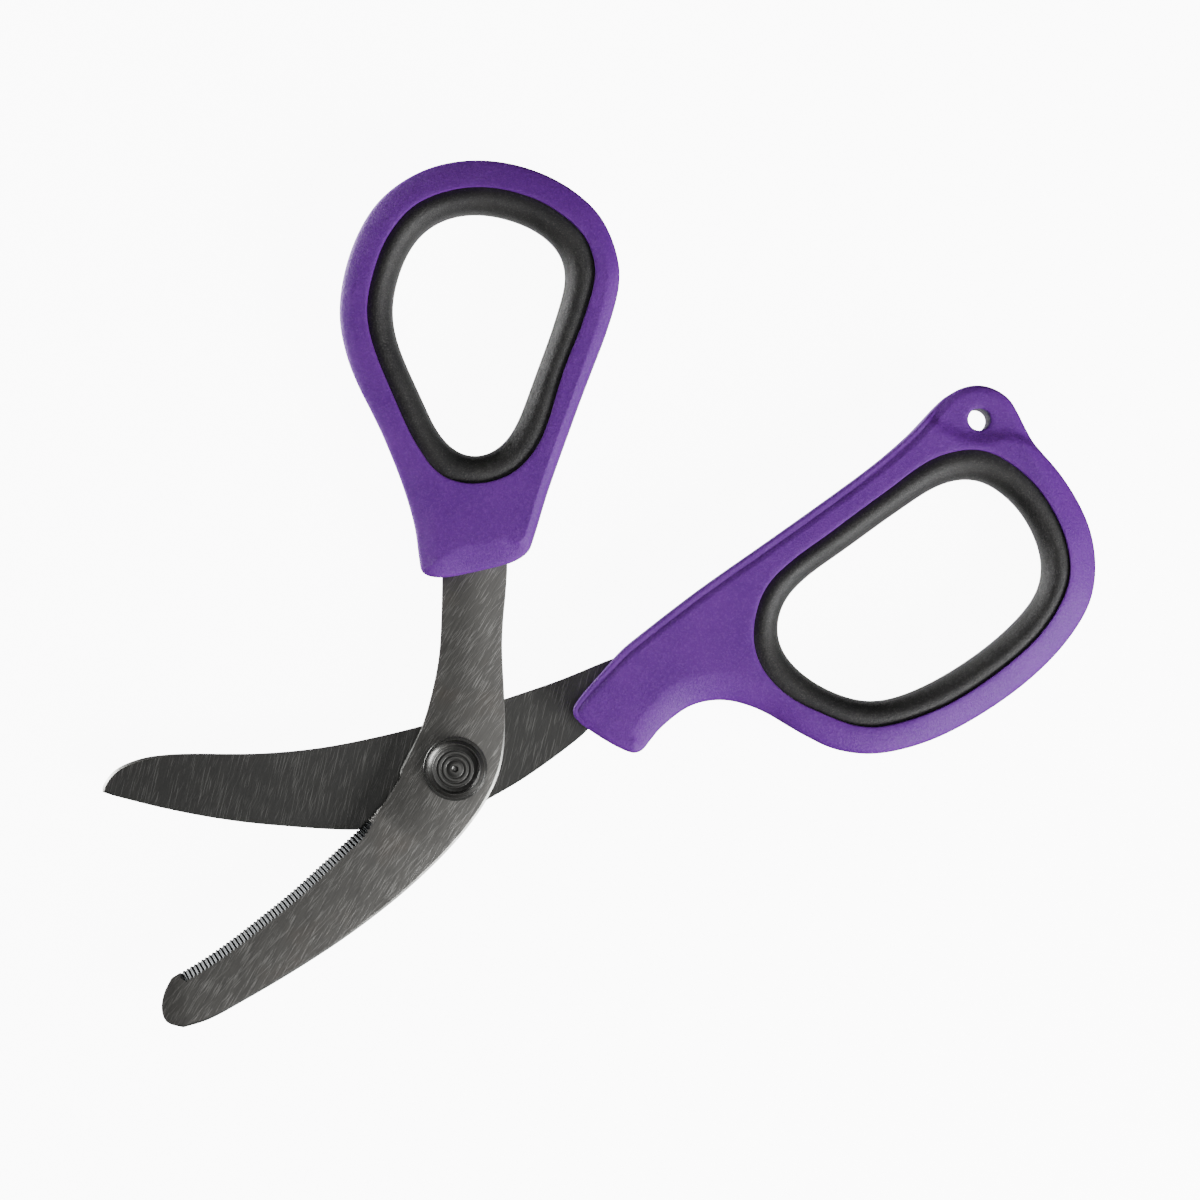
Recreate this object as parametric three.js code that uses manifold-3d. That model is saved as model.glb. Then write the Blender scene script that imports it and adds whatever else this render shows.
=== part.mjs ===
// Heavy-duty utility shears, open, lying flat. Millimetres.
// The origin is on the pivot's axis, at the back screw's face. +Z points out of the shears' front,
// +Y runs towards the thumb loop and +X towards the finger loop.
import * as THREE from "three";
import { mergeVertices } from "three/addons/utils/BufferGeometryUtils.js";
import Module from "manifold-3d";

const wasm = await Module();
wasm.setup();

// Thicknesses and heights.
const HANDLE_THICKNESS = 11;
const HANDLE_EDGE = 1.2;
const BLADE_THICKNESS = 2.6;
const BLADE_GAP = 0.3;
const MID_PLANE = HANDLE_THICKNESS / 2;
const PLAIN_TOP = MID_PLANE - BLADE_GAP / 2;
const PLAIN_BOTTOM = PLAIN_TOP - BLADE_THICKNESS;
const SERRATED_BOTTOM = MID_PLANE + BLADE_GAP / 2;
const SERRATED_TOP = SERRATED_BOTTOM + BLADE_THICKNESS;

// Cutting edges.
const EDGE_LAND = 0.5;
const SERRATED_BEVEL = 1.8;
const PLAIN_BEVEL = 2.4;
const SPINE_CHAMFER = 0.35;
const TOOTH_PITCH = 0.78;
const TOOTH_DEPTH = 0.35;

// Pivot.
const BARREL_RADIUS = 3;
const BARREL_CLEARANCE = 0.1;
const KEY_FLAT = 2.4;
const HEAD_RADIUS = 5.25;
const HEAD_TOP = 10.3;
const HEAD_RECESS_RADIUS = 3.9;
const HEAD_RECESS_DEPTH = 0.6;
const WASHER_RADIUS = 5.8;
const WASHER_THICKNESS = 0.4;
const BLADE_WASHER_RADIUS = 6.5;
const BACK_HEAD_THICKNESS = 1.9;
const STUD_RADIUS = 1.8;
const STUD_LENGTH = 5.2;
const SPANNER_HOLE_RADIUS = 0.75;
const SPANNER_HOLE_DEPTH = 1.2;
const SPANNER_HOLE_SPACING = 6.4;
const THREAD_CLEARANCE = 0.1;

// Handles and their soft liners.
const TANG_GAP = 0.25;
const KEY_HOLE_RADIUS = 2.2;
const LINER_GAP = 0.1;
const LINER_SINK = 0.3;
const RIB_DEPTH = 0.8;
const RIB_HEIGHT = 3;
const LANYARD_HOLE_RADIUS = 2;
const LANYARD_TAB_THICKNESS = 9;

// How finely curves are cut: each of an outline's points is followed by this many cuts.
const CUTS_PER_POINT = 3;
const LOOP_STATIONS = 48;
const ROUND_SEGMENTS = 32;

const toVector = ([x, y]) => new THREE.Vector3(x, y, 0);

const toPlane = (points) => points.map((p) => new THREE.Vector2(p.x, p.y));

// Points along a smooth open curve through the given points, evenly spaced if a step is given.
function smooth(points, step) {
  const curve = new THREE.CatmullRomCurve3(points.map(toVector), false, "centripetal");
  if (!step) return toPlane(curve.getPoints((points.length - 1) * CUTS_PER_POINT));
  return toPlane(curve.getSpacedPoints(Math.round(curve.getLength() / step)));
}

// A closed smooth curve through the given points. With no count, each point is followed by the same
// number of cuts, so it is finest where the points are closest; otherwise the cuts are equal steps.
function loop(points, count) {
  const curve = new THREE.CatmullRomCurve3(points.map(toVector), true, "centripetal");
  const around = count ? curve.getSpacedPoints(count) : curve.getPoints(points.length * CUTS_PER_POINT);
  return toPlane(around.slice(0, -1));
}

// The unit normals of a closed counter-clockwise outline, pointing inwards.
function inwardNormals(points) {
  return points.map((_, i) => {
    const before = points.at(i - 1);
    const after = points[(i + 1) % points.length];
    const along = after.clone().sub(before).normalize();
    return new THREE.Vector2(-along.y, along.x);
  });
}

function offset(points, inwards) {
  const normals = inwardNormals(points);
  return points.map((p, i) => p.clone().addScaledVector(normals[i], inwards));
}

// three.js geometry to a solid, and back.
function solid(geometry) {
  const bare = geometry.clone();
  bare.deleteAttribute("normal");
  bare.deleteAttribute("uv");
  const merged = mergeVertices(bare, 1e-4);
  const vertProperties = merged.attributes.position.array;
  const triVerts = new Uint32Array(merged.index.array);
  return new wasm.Manifold(new wasm.Mesh({ numProp: 3, vertProperties, triVerts }));
}

function geometryOf(manifold) {
  const { vertProperties, triVerts } = manifold.getMesh();
  const geometry = new THREE.BufferGeometry();
  geometry.setAttribute("position", new THREE.BufferAttribute(vertProperties, 3));
  geometry.setIndex(new THREE.BufferAttribute(triVerts, 1));
  geometry.computeVertexNormals();
  return geometry;
}

// A flat outline raised from one height to another, with its edges rounded over if asked.
function prism(points, low, high, rounding = 0) {
  const geometry = new THREE.ExtrudeGeometry(new THREE.Shape(points), {
    depth: high - low - 2 * rounding,
    bevelEnabled: rounding > 0,
    bevelThickness: rounding,
    bevelSize: rounding,
    bevelOffset: -rounding,
    bevelSegments: 2,
  });
  geometry.translate(0, 0, low + rounding);
  return solid(geometry);
}

function drilled(radius, low, high, x = 0, y = 0) {
  const geometry = new THREE.CylinderGeometry(radius, radius, high - low, ROUND_SEGMENTS);
  geometry.rotateX(Math.PI / 2);
  geometry.translate(x, y, (low + high) / 2);
  return solid(geometry);
}

// A profile of [radius, height] points turned about the pivot's axis.
function turned(profile) {
  const points = profile.map(([radius, height]) => new THREE.Vector2(radius, height));
  const geometry = new THREE.LatheGeometry(points, ROUND_SEGMENTS);
  geometry.rotateX(Math.PI / 2);
  return solid(geometry);
}

// Walls through matching rings of points, from the lowest ring up, with a flat cap at each end.
function stacked(rings) {
  const count = rings[0].length;
  const positions = rings.flat().flatMap((p) => [p.x, p.y, p.z]);
  const index = [];
  for (let level = 0; level < rings.length - 1; level++) {
    for (let i = 0; i < count; i++) {
      const a = level * count + i;
      const b = level * count + ((i + 1) % count);
      index.push(a, b, b + count, a, b + count, a + count);
    }
  }
  const top = (rings.length - 1) * count;
  const flat = (ring) => ring.map((p) => new THREE.Vector2(p.x, p.y));
  for (const [a, b, c] of THREE.ShapeUtils.triangulateShape(flat(rings[0]), [])) {
    index.push(a, c, b);
  }
  for (const [a, b, c] of THREE.ShapeUtils.triangulateShape(flat(rings.at(-1)), [])) {
    index.push(top + a, top + b, top + c);
  }
  const geometry = new THREE.BufferGeometry();
  geometry.setAttribute("position", new THREE.Float32BufferAttribute(positions, 3));
  geometry.setIndex(index);
  return solid(geometry);
}

// A flat steel blade. Its outline is a list of stretches that meet at corners, counter-clockwise.
// The stretch marked as the edge is ground to a bevel on the blade's outer face.
function blade({ stretches, low, high, bevel, outerFaceUp, toothed }) {
  const points = [];
  for (const { through, edge } of stretches) {
    const teeth = edge && toothed;
    const along = smooth(through, teeth ? TOOTH_PITCH / 2 : undefined).slice(0, -1);
    along.forEach((at, i) => points.push({ at, edge, valley: teeth && i % 2 === 1 }));
  }
  const normals = inwardNormals(points.map((p) => p.at));
  const inner = outerFaceUp ? low : high;
  const outer = outerFaceUp ? high : low;
  const towards = Math.sign(outer - inner);
  const shoulder = outer - towards * SPINE_CHAMFER;
  const land = inner + towards * EDGE_LAND;
  const ring = (height) =>
    points.map(({ at, edge, valley }, i) => {
      const up = Math.max(0, (height - land) / (outer - land));
      const tooth = valley ? TOOTH_DEPTH * (1 - up) : 0;
      const chamfer = height === outer ? SPINE_CHAMFER : 0;
      const inset = edge ? up * bevel + tooth : chamfer;
      const p = at.clone().addScaledVector(normals[i], inset);
      return new THREE.Vector3(p.x, p.y, height);
    });
  const heights = [inner, land, shoulder, outer];
  if (!outerFaceUp) heights.reverse();
  return stacked(heights.map(ring));
}

// Serrated blade: the front one, with its tang in the thumb handle.
const SERRATED_STRETCHES = [
  { through: [[-1.4, 46.6], [-2.3, 38], [-2.5, 30], [-3, 20.5], [-4.5, 12.9], [-6.2, 7.4], [-10, -0.2]] },
  { through: [[-10, -0.2], [-10, -1.7]] },
  { through: [[-10, -1.7], [-11.8, -4.5], [-13.2, -6.6]] },
  {
    edge: true,
    through: [
      [-13.2, -6.6], [-18.4, -11.7], [-21.1, -14.2], [-26.2, -19], [-30.2, -22.6],
      [-35.4, -26.8], [-40.5, -30.8], [-45.6, -34.4], [-51.5, -38],
    ],
  },
  { through: [[-51.5, -38], [-52.8, -40.7], [-53.2, -43.7], [-52.3, -45.9], [-49.3, -46.9]] },
  {
    through: [
      [-49.3, -46.9], [-44.8, -45.5], [-38.1, -41.9], [-28.8, -36.4], [-18.7, -29.7], [-8.2, -21.4],
      [0.6, -12.6], [5.5, -5.9], [8, -0.3], [8.9, 5.6], [8.8, 12.6], [8.4, 21.8], [8.6, 26.9],
      [9.1, 32.4], [9.3, 38], [8.2, 46.6],
    ],
  },
  { through: [[8.2, 46.6], [6.8, 48], [3.4, 48.4], [0, 48], [-1.4, 46.6]] },
];
const SERRATED_KEY_HOLE = [3.5, 42.6];

// Plain blade: the back one, with its tang in the finger handle.
const PLAIN_STRETCHES = [
  {
    edge: true,
    through: [
      [-63.3, -4.8], [-54.7, -7], [-46.5, -8.7], [-39.3, -9.8], [-32.4, -10.5], [-18.7, -11.3],
      [-7, -10.6],
    ],
  },
  { through: [[-7, -10.6], [0, -8.8], [6.2, -5.5], [12.8, -1.6], [22.9, 5.9], [24.9, 8]] },
  { through: [[24.9, 8], [31, 12], [40, 18.6], [47.6, 24.2]] },
  { through: [[47.6, 24.2], [48.6, 26.8], [47.2, 30], [44.6, 30.6]] },
  { through: [[44.6, 30.6], [37, 25.2], [31.4, 21], [27.5, 19.5]] },
  {
    through: [
      [27.5, 19.5], [18.7, 15.9], [11.8, 13.5], [0, 9.6], [-6.7, 7.5], [-19.6, 4.5], [-27.8, 3.2],
      [-37.1, 2.5], [-51.8, 2.4], [-58, 1.5], [-62.2, -0.5], [-64.3, -3.3], [-64.4, -4.4],
    ],
  },
  { through: [[-64.4, -4.4], [-63.3, -4.8]] },
];
const PLAIN_KEY_HOLE = [40.6, 22.4];

// The handles' outer edges.
const THUMB_OUTLINE = [
  [1.6, 110], [-6.5, 107.9], [-13.9, 102.5], [-18.8, 93.8], [-20.9, 82.6], [-19.1, 73.1], [-13.3, 60.7],
  [-9.4, 50.9], [-7.3, 43.5], [-6.5, 37.8], [-6, 35.7], [-4.6, 34.8], [-1.5, 34.7], [3.3, 35.6],
  [9.3, 37.1], [11.8, 38.3], [13.2, 39.6], [14, 41.6], [16.7, 50.4], [22.5, 66.6], [28.7, 83.6],
  [29.7, 90.4], [26.5, 99.5], [19.8, 105.6], [10.7, 109.3],
];
const FINGER_OUTLINE = [
  [21.6, 11.5], [21.3, 10.2], [22, 8.9], [26.5, 5.6], [30.8, 3.3], [32.4, 2.9], [33.8, 3.4], [35.4, 5.3],
  [37.3, 7.5], [42.7, 11.4], [48.4, 12.4], [54.7, 10.8], [62.5, 6.4], [68.5, 3.6], [75.5, 2.7],
  [84, 4.4], [92.5, 8.2], [103.4, 15.6], [110.9, 23.2], [115, 30.2], [116, 36.5], [115.2, 42.4],
  [112.9, 48], [109.5, 53.3], [104.9, 58.7], [103.2, 61.6], [101.8, 64.4], [100.2, 66.9], [97.6, 68.7],
  [94.7, 69.4], [91.7, 68.9], [88.7, 67.2], [82.6, 60.9], [76.5, 55.6], [66.5, 48.2], [56.5, 41.1],
  [44, 32.3], [33.6, 24.3], [30.2, 21.5], [27, 18],
];

// Where each handle meets its liner, and the liner's own opening.
const THUMB_SEAT = [
  [4.9, 105.1], [-1.6, 104.3], [-7.7, 101.5], [-12.3, 95.9], [-14.8, 89.5], [-15.9, 83], [-15, 77.2],
  [-10.7, 66.4], [-7, 58.7], [-2.7, 53.3], [2.9, 51.6], [9.7, 53.1], [14.9, 58.3], [19.7, 72.1],
  [23.8, 82.9], [25.3, 90.2], [23.3, 96.2], [17.1, 101.6], [11.1, 104.1],
];
const THUMB_OPENING = [
  [4.7, 100.6], [-0.5, 100.2], [-5.2, 98], [-8.4, 94.3], [-10.7, 88.7], [-11.6, 83.1], [-10.8, 77.8],
  [-6.2, 67], [-3.1, 60.7], [-0.1, 57.6], [3.2, 56.5], [6.7, 57.4], [9.9, 60.4], [14.8, 72.4],
  [18.3, 82.4], [19.9, 89.4], [18.5, 94], [14.1, 97.8], [9, 99.8],
];
const FINGER_SEAT = [
  [53.9, 25], [54.9, 19.4], [59.1, 14.1], [66.1, 10.2], [74.8, 7.6], [86.4, 10.5], [97.2, 16.9],
  [106.3, 25.2], [110.7, 33.5], [110.5, 40.4], [106.3, 49.3], [100.7, 54.9], [94.9, 57.6],
  [87.1, 56.4], [76.9, 49.5], [67.7, 42.7], [59.7, 36.7], [55.8, 32.2],
];
const FINGER_OPENING = [
  [58.2, 25.2], [59.1, 21.4], [62.3, 17.6], [67.9, 14], [75.2, 12], [82.2, 13.6], [92.4, 19.1],
  [101.3, 26.3], [106, 32.5], [106.5, 38], [103.5, 45.4], [99.5, 49.8], [94.6, 52.5], [88.6, 51.8],
  [80.5, 46.8], [70.5, 39.6], [63.4, 34.5], [59.6, 30.4],
];
const LANYARD_HOLE = [94.7, 63.2];
const LANYARD_TAB_EDGE = [
  [80, 75], [84.5, 65], [89.5, 61], [94.5, 59.6], [100.5, 60.2], [105, 58.4], [112, 54], [112, 75],
];

// The tang's space in its handle, open at the collar, with a post of plastic through the key hole.
function tangSpace(stretches, low, high, keyHole) {
  const steel = stretches.flatMap(({ through }) => smooth(through).slice(0, -1));
  const space = prism(offset(steel, -TANG_GAP), low - TANG_GAP, high + TANG_GAP);
  return space.subtract(drilled(KEY_HOLE_RADIUS - TANG_GAP, 0, HANDLE_THICKNESS, ...keyHole));
}

// A handle of hard plastic, with a groove round its loop that the liner's rib sits in.
function handle(outline, seat, tang) {
  const body = prism(loop(outline), 0, HANDLE_THICKNESS, HANDLE_EDGE);
  const hole = prism(loop(seat, LOOP_STATIONS), -1, HANDLE_THICKNESS + 1);
  const grooveEdge = offset(loop(seat, LOOP_STATIONS), -RIB_DEPTH - LINER_GAP);
  const grooveReach = RIB_HEIGHT / 2 + LINER_GAP;
  const groove = prism(grooveEdge, MID_PLANE - grooveReach, MID_PLANE + grooveReach);
  return body.subtract(hole).subtract(groove).subtract(tang);
}

// A soft band round the inside of a loop: half an ellipse towards the opening, a rib towards the handle.
function liner(seat, opening) {
  const outside = offset(loop(seat, LOOP_STATIONS), LINER_GAP);
  const inside = loop(opening, LOOP_STATIONS);
  const halfHeight = MID_PLANE - LINER_SINK;
  const bulgeSteps = 6;
  const profile = [
    { depth: -RIB_DEPTH, height: -RIB_HEIGHT / 2 },
    { depth: 0, height: -RIB_HEIGHT / 2 },
  ];
  for (let i = 0; i <= bulgeSteps; i++) {
    const angle = Math.PI * (i / bulgeSteps - 0.5);
    profile.push({ share: Math.cos(angle), height: halfHeight * Math.sin(angle) });
  }
  profile.push({ depth: 0, height: RIB_HEIGHT / 2 });
  profile.push({ depth: -RIB_DEPTH, height: RIB_HEIGHT / 2 });
  const positions = [];
  outside.forEach((edge, i) => {
    const across = inside[i].clone().sub(edge);
    const width = across.length();
    for (const { depth, share, height } of profile) {
      const p = edge.clone().addScaledVector(across, depth === undefined ? share : depth / width);
      positions.push(p.x, p.y, MID_PLANE + height);
    }
  });
  const index = [];
  const sides = profile.length;
  for (let i = 0; i < LOOP_STATIONS; i++) {
    const next = ((i + 1) % LOOP_STATIONS) * sides;
    for (let j = 0; j < sides; j++) {
      const k = (j + 1) % sides;
      index.push(i * sides + j, next + k, next + j, i * sides + j, i * sides + k, next + k);
    }
  }
  const geometry = new THREE.BufferGeometry();
  geometry.setAttribute("position", new THREE.Float32BufferAttribute(positions, 3));
  geometry.setIndex(index);
  return solid(geometry);
}

function serratedBlade() {
  const steel = blade({
    stretches: SERRATED_STRETCHES,
    low: SERRATED_BOTTOM,
    high: SERRATED_TOP,
    bevel: SERRATED_BEVEL,
    outerFaceUp: true,
    toothed: true,
  });
  const pivotHole = drilled(BARREL_RADIUS + BARREL_CLEARANCE, 0, HANDLE_THICKNESS);
  return steel
    .subtract(pivotHole)
    .subtract(drilled(KEY_HOLE_RADIUS, 0, HANDLE_THICKNESS, ...SERRATED_KEY_HOLE));
}

// A round bar with one flat, for the keyed end of the pivot and the hole it sits in.
function keyedBar(radius, flat, low, high) {
  const waste = new THREE.BoxGeometry(radius, 4 * radius, 2 * (high - low));
  waste.translate(flat + radius / 2, 0, (low + high) / 2);
  return drilled(radius, low, high).subtract(solid(waste));
}

function plainBlade() {
  const steel = blade({
    stretches: PLAIN_STRETCHES,
    low: PLAIN_BOTTOM,
    high: PLAIN_TOP,
    bevel: PLAIN_BEVEL,
    outerFaceUp: false,
    toothed: false,
  });
  const keyedHole = keyedBar(
    BARREL_RADIUS + BARREL_CLEARANCE,
    KEY_FLAT + BARREL_CLEARANCE,
    0,
    HANDLE_THICKNESS,
  );
  return steel
    .subtract(keyedHole)
    .subtract(drilled(KEY_HOLE_RADIUS, 0, HANDLE_THICKNESS, ...PLAIN_KEY_HOLE));
}

function thumbHandle() {
  const tang = tangSpace(SERRATED_STRETCHES, SERRATED_BOTTOM, SERRATED_TOP, SERRATED_KEY_HOLE);
  return handle(THUMB_OUTLINE, THUMB_SEAT, tang);
}

// The finger handle also has the thin lanyard tab on its far corner.
function fingerHandle() {
  const tang = tangSpace(PLAIN_STRETCHES, PLAIN_BOTTOM, PLAIN_TOP, PLAIN_KEY_HOLE);
  const tabEdge = smooth(LANYARD_TAB_EDGE);
  const relief = (HANDLE_THICKNESS - LANYARD_TAB_THICKNESS) / 2;
  return handle(FINGER_OUTLINE, FINGER_SEAT, tang)
    .subtract(prism(tabEdge, HANDLE_THICKNESS - relief, HANDLE_THICKNESS + 1))
    .subtract(prism(tabEdge, -1, relief))
    .subtract(drilled(LANYARD_HOLE_RADIUS, 0, HANDLE_THICKNESS, ...LANYARD_HOLE));
}

// The pivot's visible half: a domed head with a sunk disc, on a hollow barrel that ends in a flat key.
function pivotBarrel() {
  const headUnderside = SERRATED_TOP + WASHER_THICKNESS + 0.1;
  const rim = HEAD_TOP - HEAD_RECESS_DEPTH;
  const head = turned([
    [0, headUnderside],
    [HEAD_RADIUS, headUnderside],
    [HEAD_RADIUS, headUnderside + 0.5],
    [HEAD_RADIUS - 0.35, headUnderside + 1],
    [HEAD_RADIUS - 0.8, HEAD_TOP - 0.2],
    [HEAD_RECESS_RADIUS + 0.15, HEAD_TOP],
    [HEAD_RECESS_RADIUS, rim],
    [0, rim],
  ]);
  const round = drilled(BARREL_RADIUS, PLAIN_TOP, headUnderside + 0.2);
  const key = keyedBar(BARREL_RADIUS, KEY_FLAT, PLAIN_BOTTOM + 0.1, PLAIN_TOP + 0.1);
  const bore = drilled(STUD_RADIUS + THREAD_CLEARANCE, 0, BACK_HEAD_THICKNESS + STUD_LENGTH + 0.3);
  return head.add(round).add(key).subtract(bore);
}

// The pivot's back half: a flat head with two spanner holes, on a threaded stud.
function pivotBackScrew() {
  const chamfer = 0.3;
  const screw = turned([
    [0, 0],
    [HEAD_RADIUS - chamfer, 0],
    [HEAD_RADIUS, chamfer],
    [HEAD_RADIUS, BACK_HEAD_THICKNESS],
    [STUD_RADIUS, BACK_HEAD_THICKNESS],
    [STUD_RADIUS, BACK_HEAD_THICKNESS + STUD_LENGTH],
    [0, BACK_HEAD_THICKNESS + STUD_LENGTH],
  ]);
  const hole = (side) =>
    drilled(SPANNER_HOLE_RADIUS, -1, SPANNER_HOLE_DEPTH, (side * SPANNER_HOLE_SPACING) / 2);
  return screw.subtract(hole(-1)).subtract(hole(1));
}

function washer(inner, outer, low, high) {
  return turned([[inner, low], [outer, low], [outer, high], [inner, high], [inner, low]]);
}

// A spring washer is dished: its inner edge stands higher than its outer edge.
function springWasher() {
  const low = BACK_HEAD_THICKNESS + 0.05;
  const high = PLAIN_BOTTOM - 0.05;
  const inner = STUD_RADIUS + 0.3;
  const outer = HEAD_RADIUS - 0.3;
  const steel = 0.35;
  return turned([
    [inner, high - steel],
    [outer, low],
    [outer, low + steel],
    [inner, high],
    [inner, high - steel],
  ]);
}

const purplePlastic = () =>
  new THREE.MeshStandardMaterial({ color: 0x6a419a, roughness: 0.5, metalness: 0 });
const blackRubber = () =>
  new THREE.MeshStandardMaterial({ color: 0x2b2b2c, roughness: 0.65, metalness: 0 });
const coatedSteel = () =>
  new THREE.MeshStandardMaterial({ color: 0x565553, roughness: 0.4, metalness: 0.8 });
const blackedSteel = () =>
  new THREE.MeshStandardMaterial({ color: 0x2a2a2a, roughness: 0.3, metalness: 0.8 });
const bronze = () => new THREE.MeshStandardMaterial({ color: 0x9a7a48, roughness: 0.4, metalness: 0.9 });

function piece(name, manifold, material) {
  const mesh = new THREE.Mesh(geometryOf(manifold), material);
  mesh.name = name;
  return mesh;
}

const barrelFit = BARREL_RADIUS + BARREL_CLEARANCE;
const headWasherLow = SERRATED_TOP + 0.05;

const thumbHalf = new THREE.Group();
thumbHalf.add(
  piece("serrated_blade", serratedBlade(), coatedSteel()),
  piece("thumb_handle", thumbHandle(), purplePlastic()),
  piece("thumb_loop_liner", liner(THUMB_SEAT, THUMB_OPENING), blackRubber()),
);

const fingerHalf = new THREE.Group();
fingerHalf.add(
  piece("plain_blade", plainBlade(), coatedSteel()),
  piece("finger_handle", fingerHandle(), purplePlastic()),
  piece("finger_loop_liner", liner(FINGER_SEAT, FINGER_OPENING), blackRubber()),
  piece("pivot_barrel", pivotBarrel(), blackedSteel()),
  piece("pivot_back_screw", pivotBackScrew(), blackedSteel()),
  piece(
    "head_washer",
    washer(barrelFit, WASHER_RADIUS, headWasherLow, headWasherLow + WASHER_THICKNESS),
    blackedSteel(),
  ),
  piece(
    "blade_washer",
    washer(barrelFit, BLADE_WASHER_RADIUS, PLAIN_TOP + 0.05, SERRATED_BOTTOM - 0.05),
    bronze(),
  ),
  piece("spring_washer", springWasher(), blackedSteel()),
);

const shears = new THREE.Group();
shears.add(thumbHalf, fingerHalf);

export default shears;
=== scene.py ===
"""Heavy-duty utility shears, open, lying flat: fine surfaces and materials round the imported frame."""

import math

import bmesh
import bpy
import numpy as np
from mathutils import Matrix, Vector
from mathutils.geometry import delaunay_2d_cdt


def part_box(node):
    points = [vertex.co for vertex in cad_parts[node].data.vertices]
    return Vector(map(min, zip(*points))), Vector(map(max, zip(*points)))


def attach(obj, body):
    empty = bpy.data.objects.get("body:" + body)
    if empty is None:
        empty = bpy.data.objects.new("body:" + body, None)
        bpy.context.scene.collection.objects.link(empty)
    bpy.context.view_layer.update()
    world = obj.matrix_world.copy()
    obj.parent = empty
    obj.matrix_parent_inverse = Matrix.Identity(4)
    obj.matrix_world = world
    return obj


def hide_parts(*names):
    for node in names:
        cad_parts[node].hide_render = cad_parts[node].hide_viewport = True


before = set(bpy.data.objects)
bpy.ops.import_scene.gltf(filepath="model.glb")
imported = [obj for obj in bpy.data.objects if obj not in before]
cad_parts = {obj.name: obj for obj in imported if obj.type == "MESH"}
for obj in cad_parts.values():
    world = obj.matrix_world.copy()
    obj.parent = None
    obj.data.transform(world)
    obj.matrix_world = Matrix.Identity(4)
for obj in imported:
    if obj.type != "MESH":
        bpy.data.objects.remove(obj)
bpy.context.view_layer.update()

# Shapes are worked out in millimetres and become metres as they are turned into meshes.
MM = 0.001

# Levels, read from the frame.
HANDLE_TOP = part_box("finger_handle")[1].z / MM
MID_PLANE = HANDLE_TOP / 2
PLAIN_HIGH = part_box("plain_blade")[1].z / MM

# Fineness.
OUTLINE_STEP = 0.6
GRID_STEP = 0.9
BLADE_STEP = 0.3
SHANK_STEP = 0.4
HOLE_STEP = 0.25
TAB_LINE_STEP = 0.25
SAME_POINT = 0.01
CURVE_CUTS = 8
ROUND_SEGMENTS = 128
SMALL_HOLE_SEGMENTS = 32
FACET_RINGS = 7
LIP_RINGS = 5
BEVEL_RINGS = 6
FLUTE_CUTS = 10
CONE_CUTS = 12
DISH_CUTS = 6
UNFOLDING_PASSES = 80

# Where an outline has a corner, and where a surface has a crease.
CORNER_ANGLE = math.radians(24)
STRAIGHT_ANGLE = math.radians(0.02)
TOOTH_CORNER = math.radians(-40)
CREASE = math.radians(32)
LINER_CREASE = math.radians(50)
BLADE_CREASE = math.radians(38)
TURNED_CREASE = math.radians(42)

# Handles. The lips are the small rounded edges at the side wall and round the liner's seat.
LIP = 0.55
SEAT_LIP = 0.3
PAST_CREASE = 0.15
LEDGE_RISE = 1.1
GROOVE_REACH = 1.6
GROOVE_DEPTH = 0.9
PARTING_GROOVE = 0.05
PARTING_REACH = 0.12
TAB_HALF_THICKNESS = 4.5
TAB_STEP_LENGTH = 1.9
LANYARD_EDGE = 0.45
LANYARD_HALFWAY = 0.3
SHORTEST_HOLE = 12

# How far the loose points of a handle's face stay from the rings and edges next to them.
GRID_CLEARANCE = 0.6
SEAT_CLEARANCE = 0.25
HOLE_CLEARANCE = 0.2

# A rim ring's point is left out where it lies nearer to the outline than this share of its depth.
UNFOLDED_SHARE = 0.97

# Liners. The crest is at a share of the way from the seat to the opening.
LINER_POINTS = 240
LINER_CREST = 0.36
LINER_EDGE_SINK = 0.55
LINER_EDGE_CUTS = 5
LINER_CUTS = 15
LINER_ACROSS_POWER = 1.05
LINER_HEIGHT_POWER = 0.82
LINER_GAP = 0.04
LINER_EASING = 5
MATCH_WINDOW = 15
OFF_MID_PLANE = 0.01

# Blades.
TOOTH_PITCH = 0.78
FLUTE_DEPTH = 0.3
FLUTE_SLANT = 0.3
FLUTE_FADE_SHARE = 0.4
FLUTE_TIP_FADE = (0.1, 0.7)
EDGE_BREAK = 0.1
KEENNESS = 0.7
CHAMFER = 0.12
CHAMFER_SLOPE = 0.6
CHOIL_LENGTH = 7.0
CHOIL_CHAMFER = 0.04

# A blade is cut just inside both its faces. Where the two cuts lie further apart than the gap, the
# outline belongs to the ground edge.
EDGE_CUT = 0.2
FACE_CUT = 0.05
GROUND_GAP = 1.0

# The spine's wide chamfer comes in over the first stretch, measured from the tip along the outline,
# and goes out over the second, measured in Y. The tip's chamfer goes out over the last, in X.
SPINE_START = (8, 16)
SPINE_END = (-2, 12)
BRIGHT_SPINE = 0.3
TIP_FADE = (8, 15)

# What each part of a blade's surface is, as its material's place in the list.
FACE, FACET, EDGE = 0, 1, 2

# Pivot.
BARREL_RADIUS = 3.0
BORE_RADIUS = 1.9
KEY_FLAT = 2.4
KEY_STEP = 0.01
STUD_RADIUS = 1.8
STUD_CLEARANCE = 0.3
HEAD_CLEARANCE = 0.05
WASHER_BORE = 3.1
HEAD_WASHER_GROOVES = (5.62, 5.44)
RECESS_RADIUS = 4.1
BROW_OUTER = 0.5
BROW_INNER = 0.45
BROW_FALL = 0.42
DISC_DEPTH = 0.62
DISC_GROOVES = (3.4, 2.5, 1.6)
CONE_MARGIN = 0.1
CONE_POWER = 1.8
THREAD_PITCH = 0.5
THREAD_DEPTH = 0.25
THREAD_START = 0.5
THREAD_ENDS = 0.8
HOLE_BREAK = 0.1
DISH_STEEL = 0.35
DISH_CLEARANCE = 0.2
DISH_POWER = 1.3

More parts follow.
